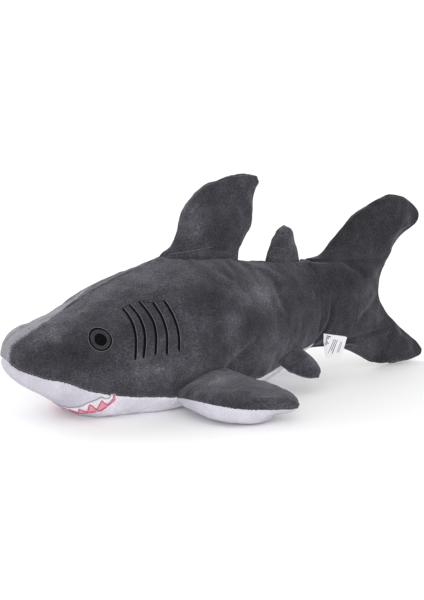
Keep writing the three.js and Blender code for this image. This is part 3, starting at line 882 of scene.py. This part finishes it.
def make_embroidery(surface):
    black, grey, edge, pink, deep_pink, white = (thread_material(*row) for row in THREADS)

    def piece(name, parts, material, node=None):
        made = new_piece(name, *parts, material)
        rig.ride(made, "body")
        if node is not None:
            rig.replaces(made, node)
        return made

    for side_name, side in (("right", 1), ("left", -1)):
        read = surface.beside(side)
        ring = circle_places(EYE["ring"] - EYE["thread"], EYE["ring"])
        piece(f"eye_ring_{side_name}_satin", satin(read, ring), black, f"eye_ring_{side_name}")
        pupil = join([
            satin(read, circle_places(EYE["pupil_core"] - 0.4, EYE["pupil"])),
            satin(read, circle_places(0.2, EYE["pupil_core"])[::2]),
        ])
        piece(f"eye_pupil_{side_name}_satin", pupil, black, f"eye_pupil_{side_name}")
        edges = []
        for k, points in enumerate(GILLS, start=1):
            name = f"gill_stitch_{k}_{side_name}"
            piece(f"{name}_satin", satin(read, gill_places(points)), black, name)
            # painted highlight: a paler line beside each gill line, where raised pile catches the light
            line, along = even_line(points, LAID_STEP)
            beside = line + turned(along) * (GILL_WIDTH / 2 + PILE_HIGHLIGHT["gap"])
            edges.append(laid_thread(read, beside, *LAID["gill_edge"]))
        # painted highlight: a paler line round the eye's ring
        radius = EYE["ring"] + PILE_HIGHLIGHT["round_eye"]
        turn = np.linspace(0.2, 2 * math.pi + 0.2, 25)
        rim = np.column_stack([EYE["x"] + radius * np.cos(turn), EYE["z"] + radius * np.sin(turn)])
        edges.append(laid_thread(read, even_line(rim, LAID_STEP)[0], *LAID["eye_edge"]))
        piece(f"pile_highlights_{side_name}", join(edges), edge)
        tops = even_line([points[0] for points in GILLS], LAID_STEP)[0]
        piece(f"gill_jump_thread_{side_name}", laid_thread(read, tops, *LAID["jump"]), black)

    lip = MOUTH["line"]
    tips = [lip + 0.8, lip + MOUTH["tooth"]]
    base = lip + MOUTH["tooth"] + MOUTH["gum"]
    inner, zigzag, outer = (mouth_edge(d, MOUTH["stitches"]) for d in ([lip], tips, [base]))
    lip_line = mouth_edge([0.4], 110)
    lip_thread = laid_thread(surface.below, lip_line, *LAID["lip"])
    piece("upper_lip_thread", lip_thread, grey, "upper_lip_stitch")
    piece("teeth_satin", satin(surface.below, list(zip(inner, zigzag)), 0.5), white, "teeth_stitch")
    piece("gum_satin", satin(surface.below, list(zip(zigzag, outer)), 0.5), pink, "gum_stitch")
    outline = join([
        laid_thread(surface.below, zigzag, *LAID["teeth_edge"]),
        laid_thread(surface.below, outer, *LAID["gum_edge"]),
    ])
    piece("gum_outline_thread", outline, deep_pink)


def make_root_thread(fin, bend):
    """The pale thread that shows along the front of the back fin's left root."""
    thread = thread_material("root_thread", "grey_thread", (0.17, 0.165, 0.19), 0.7)
    line = even_line(ROOT_THREAD, LAID_STEP)[0]
    laid = laid_thread(fin.beside(-1), line, *LAID["root"])
    piece = new_piece("dorsal_fin_root_thread", *laid, thread)
    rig.blend(piece, "body", "dorsal_fin", **bend)


# ------ materials
PATCH, SPOT, SPECKLE, HAIR = 0.050, 0.011, 0.0016, 0.0007  # sizes in the pile, in metres
PLUSH = {
    "Roughness": 0.95, "Specular_IOR_Level": 0.1, "Sheen_Roughness": 0.45,
    "Sheen_Tint": (0.9, 0.9, 1.0, 1),
}


class Material:
    """A material of the finished model, with short ways to build its node tree."""

    def __init__(self, name, slot, **inputs):
        self.made = bpy.data.materials.new(name)
        self.made["slot"] = slot
        self.made.use_nodes = True
        self.shader = self.made.node_tree.nodes["Principled BSDF"]
        for key, value in inputs.items():
            self.shader.inputs[key.replace("_", " ")].default_value = value

    def node(self, kind):
        return self.made.node_tree.nodes.new("ShaderNode" + kind)

    def link(self, output, socket):
        self.made.node_tree.links.new(output, socket)

    def noise(self, size, detail, stretch=(1, 1, 1)):
        """A noise texture whose lumps are about that size in metres."""
        scale, texture = self.node("VectorMath"), self.node("TexNoise")
        scale.operation = "MULTIPLY"
        scale.inputs[1].default_value = [s / size for s in stretch]
        self.link(self.node("TexCoord").outputs["Object"], scale.inputs[0])
        texture.inputs["Scale"].default_value = 1.0
        texture.inputs["Detail"].default_value = detail
        self.link(scale.outputs[0], texture.inputs["Vector"])
        return texture.outputs["Fac"]

    def attribute(self, name):
        """A number that the mesh holds at each point."""
        node = self.node("Attribute")
        node.attribute_name = name
        return node.outputs["Fac"]

    def ramp(self, value, *stops):
        """A colour read from a value, through stops of place and colour."""
        node = self.node("ValToRGB")
        elements = node.color_ramp.elements
        while len(elements) < len(stops):
            elements.new(0.5)
        for element, (place, color) in zip(elements, stops):
            element.position = place
            element.color = (*color, 1)
        self.link(value, node.inputs["Fac"])
        return node.outputs["Color"]

    def mix(self, share, color, other):
        """A colour mixed with a plain one."""
        node = self.node("Mix")
        node.data_type = "RGBA"
        node.inputs[7].default_value = (*other, 1)
        self.link(share, node.inputs[0])
        self.link(color, node.inputs[6])
        return node.outputs[2]

    def math(self, operation, *values):
        node = self.node("Math")
        node.operation = operation
        for socket, value in zip(node.inputs, values):
            if isinstance(value, (int, float)):
                socket.default_value = value
            else:
                self.link(value, socket)
        return node.outputs[0]

    def add(self, value, share, rest):
        return self.math("MULTIPLY_ADD", value, share, rest)

    def finish(self, color, height, strength, distance):
        """The material, with its colour and the relief of its surface."""
        bump = self.node("Bump")
        bump.inputs["Strength"].default_value = strength
        bump.inputs["Distance"].default_value = distance
        self.link(height, bump.inputs["Height"])
        self.link(bump.outputs["Normal"], self.shader.inputs["Normal"])
        self.link(color, self.shader.inputs["Base Color"])
        return self.made


def plush(slot, dark, middle, light, brushed, sheen, tufts=None):
    """Short-pile plush: brushed patches, crushed spots, speckle from the pile, and sheen, with painted light and shade
    from values the mesh holds. Tufts of the next panel's colour stand in its seam."""
    m = Material(slot, slot, Sheen_Weight=sheen, **PLUSH)
    spots, speckle = m.noise(SPOT, 3.0), m.noise(SPECKLE, 2.0)
    pile = m.noise(HAIR, 1.0, (0.35, 1, 1))
    value = m.add(m.noise(PATCH, 3.0), 0.7, -0.85)
    value = m.math("ADD", value, m.attribute("nap"))
    for part, share in ((spots, 0.5), (speckle, 0.9), (pile, 0.5)):
        value = m.add(part, share, value)
    # the top stop colours brushed patches and the painted highlight strip
    color = m.ramp(value, (0.0, dark), (0.42, middle), (0.8, light), (1.0, brushed))
    if tufts is not None:
        edge = m.add(speckle, 1.6, m.attribute("fringe"))
        color = m.mix(m.math("GREATER_THAN", edge, 1.35), color, tufts)
    return m.finish(color, m.add(spots, 2.0, m.add(speckle, 1.4, pile)), 0.7, 0.0009)


def thread_material(name, slot, color, roughness):
    """Embroidery thread, a little uneven, with the twist of its strands."""
    m = Material(name, slot, Roughness=roughness, Specular_IOR_Level=0.3 * (1 - roughness))
    deep = tuple(0.72 * c for c in color)
    pale = tuple(min(1.2 * c, 1) for c in color)
    uneven = m.ramp(m.noise(0.002, 2.0), (0.0, deep), (1.0, pale))
    return m.finish(uneven, m.noise(0.0003, 1.0), 0.4, 0.0002)


def label_material(name, color):
    """Woven satin ribbon: fine even ribs and a soft shine."""
    m = Material(name, "satin_label", Roughness=0.38, Anisotropic=0.4)
    ribs = m.noise(0.0008, 1.0, (0.2, 1, 1))
    woven = m.ramp(ribs, (0.0, tuple(0.92 * c for c in color)), (1.0, color))
    return m.finish(woven, ribs, 0.3, 0.0002)


# ------ the care label
LABEL = {  # its sewn end, its splay from the fabric, how far it stands off, and its two leaves
    "x": 99, "y": -22.5, "z": 47, "splay": 5, "stand": 1.6,
    "thickness": 0.35, "gap": 0.8, "curl": {"back": 1.5, "front": 4.0}, "wave": 0.8,
}
LABEL_OUTLINE = [(0, -4), (0, 5.5), (25, 0.5), (18, -25), (3, -21)]
LABEL_BARS = [  # printed bars, in shares down the label and along it: from, to, from, to
    *[(0.10 + 0.13 * k, 0.17 + 0.13 * k, 0.12, 0.32 - 0.06 * (k % 3)) for k in range(6)],
    *[(0.18, 0.80 - 0.12 * (k % 2), 0.50 + 0.07 * k, 0.525 + 0.07 * k) for k in range(3)],
    *[(0.22, 0.70, 0.80 + 0.05 * k, 0.815 + 0.05 * k) for k in range(2)],
]


def label_leaf(number, curl):
    """One leaf of the folded label: a grid between its sewn end and its free end, a little curled."""
    shares = np.linspace(0, 1, 22)
    outline = np.array(LABEL_OUTLINE, float)
    top, low = resample(outline[[1, 2]], shares), resample(outline[[0, 4, 3]], shares)
    flat = top[:, None] + (low - top)[:, None] * shares[None, :, None]
    away = flat[..., 0] / outline[2, 0]
    bend = curl * away ** 2 + LABEL["wave"] * np.sin(3.0 * shares)[None, :] * away
    y = -number * LABEL["gap"] - bend - LABEL["stand"] * np.sin(np.pi * np.clip(2 * away, 0, 0.5))
    splay = math.radians(-LABEL["splay"])
    x = flat[..., 0] * math.cos(splay) - y * math.sin(splay)
    y = flat[..., 0] * math.sin(splay) + y * math.cos(splay)
    return np.stack([LABEL["x"] + x, LABEL["y"] + y, LABEL["z"] + flat[..., 1]], axis=-1)


def grid_normals(grid):
    """The direction of the grid's front at each of its points."""
    across, down = np.gradient(grid, axis=1), np.gradient(grid, axis=0)
    return unit(np.cross(across, down))


def label_bar(grid, normals, bar):
    """A printed bar on a leaf: a thin plate just over it."""
    places = [np.linspace(a, b, 4) * (n - 1) for (a, b), n in zip((bar[2:], bar[:2]), grid.shape)]
    top, out = (regrid(g, *places) for g in (grid, normals))
    points = np.concatenate([(top + 0.08 * out).reshape(-1, 3), (top + 0.03 * out).reshape(-1, 3)])
    return points, shell_faces(4, 4)


def make_label():
    ribbon = label_material("satin_label", (0.80, 0.79, 0.83))
    ink = label_material("label_ink", (0.03, 0.03, 0.035))
    for number, (side, curl) in enumerate(LABEL["curl"].items()):
        grid = label_leaf(number, curl)
        normals = grid_normals(grid)
        leaf = shell_piece(f"care_label_{side}", grid, normals, ribbon, LABEL["thickness"])
        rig.ride(leaf, "care_label")
        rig.replaces(leaf, f"care_label_{side}_leaf")
        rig.sheet(leaf, flat=(0.028, 0.030), held="hung", rests_on=["tail_left_panel_plush"], area=0.00068)
    bars = join([label_bar(grid, normals, bar) for bar in LABEL_BARS])
    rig.ride(new_piece("care_label_print", *bars, ink), "care_label")


# ------ the stage
WORLD_STRENGTH = 1.05
LIGHTS = [  # name, place, diameter, power
    ("back_light", (-0.9, 1.3, 1.3), 0.9, 6),
    ("front_light", (-0.9, -1.5, 0.5), 1.2, 8),
]
LIT = (0, 0, 0.08)  # the place that the lights face
FLOOR = {"half": 6.0, "tone": 0.98}


def make_stage():
    scene = bpy.context.scene
    world = bpy.data.worlds.new("studio")
    world.use_nodes = True
    background = world.node_tree.nodes["Background"]
    background.inputs["Color"].default_value = (1, 1, 1, 1)
    background.inputs["Strength"].default_value = WORLD_STRENGTH
    scene.world = world
    scene.view_settings.view_transform = "Standard"
    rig.stage(new_floor())
    for name, place, size, power in LIGHTS:
        data = bpy.data.lights.new(name, "AREA")
        data.shape = "DISK"
        data.size = size
        data.energy = power
        light = new_object(name, data)
        light.location = place
        light.rotation_euler = (Vector(LIT) - Vector(place)).to_track_quat("-Z", "Y").to_euler()


def new_floor():
    paper = Material("floor", "none", Base_Color=(*[FLOOR["tone"]] * 3, 1), Roughness=0.9)
    half = FLOOR["half"]
    mesh = bpy.data.meshes.new("floor")
    corners = [(-half, -half, 0), (half, -half, 0), (half, half, 0), (-half, half, 0)]
    mesh.from_pydata(corners, [], [(0, 1, 2, 3)])
    mesh.materials.append(paper.made)
    return new_object("floor", mesh)


def make_camera():
    azimuth, elevation = math.radians(CAMERA["azimuth"]), math.radians(CAMERA["elevation"])
    back = Vector((
        math.sin(azimuth) * math.cos(elevation),
        -math.cos(azimuth) * math.cos(elevation),
        math.sin(elevation),
    ))
    data = bpy.data.cameras.new("camera")
    data.lens = CAMERA["lens"]
    data.sensor_width = 36
    camera = new_object("camera", data)
    camera.location = Vector(CAMERA["target"]) + back * CAMERA["distance"]
    camera.rotation_euler = (-back).to_track_quat("-Z", "Y").to_euler()
    bpy.context.scene.camera = camera


# ------ the pile
GREY = {
    "dark": (0.017, 0.0165, 0.020), "middle": (0.040, 0.039, 0.047),
    "light": (0.098, 0.096, 0.112), "brushed": (0.26, 0.255, 0.28),
}
WHITE = {
    "dark": (0.50, 0.48, 0.55), "middle": (0.61, 0.59, 0.66),
    "light": (0.70, 0.68, 0.75), "brushed": (0.84, 0.82, 0.88),
}
BRUSHED = [  # where the pile lies up and looks lighter, or down and darker: place, radius, strength
    ((12, -45, 111), 20, 0.44), ((-12, -52, 116), 14, 0.2), ((-36, -62, 87), 12, 0.24),
    ((-8, -58, 84), 15, -0.34), ((-50, -56, 118), 22, -0.12), ((-66, -64, 92), 14, 0.12),
    ((-213, -32, 95), 12, 0.42), ((-232, -26, 84), 9, 0.15), ((-190, -52, 72), 15, -0.18),
    ((-118, -64, 48), 24, 0.15), ((-145, -62, 52), 16, 0.12), ((60, -35, 85), 12, 0.12),
    ((-49, -12, 188), 16, 0.30), ((-10, -12, 178), 20, -0.14), ((158, -8, 33), 13, 0.28),
    ((170, -8, 170), 16, 0.16), ((-17, -100, 30), 13, 0.34), ((-56, -90, 38), 16, 0.20),
    ((-110, 30, 132), 18, 0.25), ((40, 40, 100), 24, 0.35), ((-60, 64, 80), 20, 0.25),
    ((-190, 48, 90), 16, 0.2),
]
HEAD_HIGHLIGHT = [  # edge of the painted highlight on top of the head, a pale strip of sheen as if lit from behind, seen from above; it lies towards +Y
    (-252, -11), (-243, -15), (-230, -17), (-212, -9), (-183, 3.5), (-169, 9), (-146, 21), (-120, 30),
]
HIGHLIGHT_STRIP = {"strength": 0.7, "width": 27, "starts": -115, "fades": 45}
FRINGE_WIDTH = 1.6


def share_of(values, start, length):
    """0 up to the start, rising to 1 over that length."""
    return np.clip((values - start) / length, 0, 1)


def nap(name, grid):
    """How much lighter, above 0, or darker the pile looks at each point of a panel: brushed patches, with painted
    light added.
    The belly is painted paler behind the jaw and darker at the head, the head's top carries a painted highlight strip,
    the pelvic fins' undersides a painted sheen, and the back gets darker towards the tail and, as painted shade,
    upwards."""
    value = 0.13 * wave(grid, 40.0, 1.3) + 0.06 * wave(grid, 16.0, 8.6)
    uneven = 1 + 0.4 * wave(grid, 14.0, 4.4)
    for place, radius, strength in BRUSHED:
        away = np.linalg.norm(grid - place, axis=-1) / radius * uneven
        value += strength * np.exp(-away ** 2)
    if name.startswith("back_panel"):
        # painted highlight: a pale strip of sheen along the head's top, on the right panel near the top seam
        highlight_strip = np.array(HEAD_HIGHLIGHT, float)
        edge = np.interp(grid[..., 0], highlight_strip[:, 0], highlight_strip[:, 1]) + 2 * wave(grid, 9.0, 2.2)
        from_top = edge_distances(grid)["last_column" if name.endswith("right") else "first_column"]
        forward = np.clip((HIGHLIGHT_STRIP["starts"] - grid[..., 0]) / HIGHLIGHT_STRIP["fades"], 0, 1)
        inside = np.clip((grid[..., 1] - edge) / 4 + 0.5, 0, 1)
        value += HIGHLIGHT_STRIP["strength"] * forward * inside * np.exp(-(from_top / HIGHLIGHT_STRIP["width"]) ** 3)
    if name.startswith("pelvic_fin_under"):
        # painted sheen: the pelvic fins' undersides are made lighter grey
        value += 0.25
    if name.startswith("dorsal"):
        value -= 0.1
    if name.startswith(("tail", "back_panel")):
        value -= 0.24 * share_of(grid[..., 0], 20, 90)
        # painted shade: the back is darker upwards, behind the head
        value -= 0.12 * share_of(grid[..., 2], 70, 40) * share_of(grid[..., 0], -110, 60)
    if name == "belly_panel":
        # painted light and shade: the belly is painted paler behind the jaw, against the floor's shade, and darker at
        # the head
        value += np.interp(grid[..., 0], (-190, -160), (-0.3, 0.4))
    return value


def fringe(name, grid):
    """How near the seam with the grey back each point of the belly is, 1 in the seam."""
    distance = edge_distances(grid)
    nearest = np.minimum(distance["first_column"], distance["last_column"])
    if "under" in name:
        nearest = np.minimum(nearest, distance["last_row"])
    return np.clip(1 - nearest / FRINGE_WIDTH, 0, 1)


# ------ assembly
BODY_FILL, FIN_FILL = 0.8, 0.7
BODY_CLOTH = {"growth": 0.015, "cap": 4.0}  # how much larger the fabric is cut, how far it may swell
FIN_CLOTH = {"growth": 0.02, "cap": 3.0}
TAIL_BEND = {"start": (0.058, 0, 0.082), "end": (0.106, 0, 0.082)}
FIN_BENDS = {
    "dorsal_fin": {"start": (-0.037, 0, 0.147), "end": (-0.035, 0, 0.165)},
    "rear_dorsal_fin": {"start": (0.060, 0, 0.1345), "end": (0.0605, 0, 0.1455)},
    "pectoral_fin": {"start": (-0.062, 0.0645, 0.0265), "end": (-0.056, 0.086, 0.0245)},
    "pelvic_fin": {"start": (0.0505, 0.0395, 0.035), "end": (0.0555, 0.047, 0.030)},
}
TAIL_EASE = {"body": 60, "tail": 40, "seam": 14}  # how far from the tail seam the fabric swells fully
SEAM_LEFT = 0.12  # what shows of the seams at the tail seam
SUNK = 0.8  # how deep a fin's root lies in the body's fabric
FLAT_SEAM = 0.25  # a fin's seams are drawn in less than the body's
ON_SEAM = 0.6  # a tail row that starts this near the seam starts on it
RAISED = (0.75, 0.9, 0.96, 1), (0, 2.2, 2.2, 1.0)  # how the tail's edge is raised towards its top


def place_bag(bag, materials, fill, stuffing, bodies, bend):
    """The finished panels of a bag, as pieces named after their CAD nodes, which bend with the
    fabric between two bodies. stuffing names the panel that stands for the filling, and the
    filling's node."""
    normals = bag.normals()
    for (name, grid), material in zip(bag.panels.items(), materials):
        values = {"nap": nap(name, grid), "fringe": fringe(name, grid)}
        piece = shell_piece(f"{name}_plush", grid, normals[name], material, values=values)
        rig.replaces(piece, name)
        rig.padded(piece, fill=fill)
        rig.blend(piece, *bodies, **bend)
        if name == stuffing[0]:
            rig.replaces(piece, stuffing[1])


def near_tail(points, reach):
    """0 on the tail seam, rising to 1 over that reach from it."""
    return np.clip(np.abs(points[..., 0] - TAIL_SEAM) / reach, 0, 1)


def tail_seam_share(grid):
    """How much of a seam shows at each point: little of it where it crosses the tail seam."""
    return SEAM_LEFT + (1 - SEAM_LEFT) * near_tail(grid, TAIL_EASE["seam"]) ** 2


make_camera()
make_stage()
grey = plush("grey_plush", **GREY, sheen=0.28)
white = plush("white_plush", **WHITE, sheen=0.15, tufts=GREY["middle"])

body = make_body_bag()
inflate(body, **BODY_CLOTH, kept=lambda p: near_tail(p, TAIL_EASE["body"]))
coarse_surface = Surface(body)
tail_end = body.panels["belly_panel"][-1], body.panels["back_panel_right"][-1]
refine(body)
sew(body, tail_seam_share)
surface = Surface(body)
place_bag(body, (white, grey, grey), BODY_FILL, ("back_panel_right", "body_stuffing"),
          ("body", "tail"), TAIL_BEND)

# The body's end, from the middle of the belly up the right side. The tail starts as thick.
ring = np.concatenate([tail_end[0][len(tail_end[0]) // 2:], tail_end[1][1:]])


def end_opening(lead):
    """Spreads the starts of the tail's rows evenly round the body's end."""
    inside = np.abs(lead[:, 0] - TAIL_SEAM) < ON_SEAM
    length = lengths(ring)
    share = (lead[:, 2] - ring[0, 2]) / (ring[-1, 2] - ring[0, 2])
    out, height = (np.interp(share * length[-1], length, ring[:, k]) for k in (1, 2))
    height += np.interp(share, *RAISED)
    return np.where(inside, out, 0), np.where(inside, height - lead[:, 2], 0)


def fin_bag(rows, names):
    """A side or back fin on the body."""
    bag = make_pocket(rounded(rows), names, root_on=lambda p: coarse_surface.nearest(p, sunk=SUNK))
    inflate(bag, **FIN_CLOTH)
    refine(bag)
    sew(bag, deep=FLAT_SEAM)
    return bag


def tail_bag():
    """The tail, rounded at both tips and open towards the body."""
    rows = rounded(rounded(upright(TAIL))[::-1])[::-1]
    bag = make_pocket(rows, ["tail_left_panel", "tail_right_panel"], open_at=end_opening)
    inflate(bag, **FIN_CLOTH, kept=lambda p: near_tail(p, TAIL_EASE["tail"]))
    refine(bag)
    sew(bag, tail_seam_share, deep=FLAT_SEAM)
    return bag


def other_side(bag):
    """The same bag on the shark's left side."""
    panels = {n.replace("_right", "_left"): mirrored(g) for n, g in bag.panels.items()}
    seams = {n.replace("_right", "_left"): edges for n, edges in bag.seams.items()}
    return Bag(panels, seams)


place_bag(tail_bag(), (grey, grey), FIN_FILL, ("tail_left_panel", "tail_stuffing"),
          ("body", "tail"), TAIL_BEND)
for name, rows in (("dorsal_fin", DORSAL), ("rear_dorsal_fin", REAR_DORSAL)):
    left = f"{name}_left_panel"
    bag = fin_bag(upright(rows), [left, f"{name}_right_panel"])
    place_bag(bag, (grey, grey), FIN_FILL, (left, f"{name}_stuffing"), ("body", name), FIN_BENDS[name])
    if name == "dorsal_fin":
        make_root_thread(Surface(bag), FIN_BENDS[name])
for name, rows, under in (("pectoral_fin", PECTORAL, white), ("pelvic_fin", PELVIC, grey)):
    bag = fin_bag(rows, [f"{name}_top_panel_right", f"{name}_under_panel_right"])
    for side_name, side in (("right", 1), ("left", -1)):
        bend = {end: (x, side * y, z) for end, (x, y, z) in FIN_BENDS[name].items()}
        stuffing = f"{name}_top_panel_{side_name}", f"{name}_stuffing_{side_name}"
        place_bag(bag if side > 0 else other_side(bag), (grey, under), FIN_FILL, stuffing,
                  ("body", f"{name}_{side_name}"), bend)

make_embroidery(surface)
make_label()

box = [list(corner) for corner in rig.bounds()]
with open("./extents.json", "w") as file:
    json.dump({"cad": cad_box, "visual": box}, file)
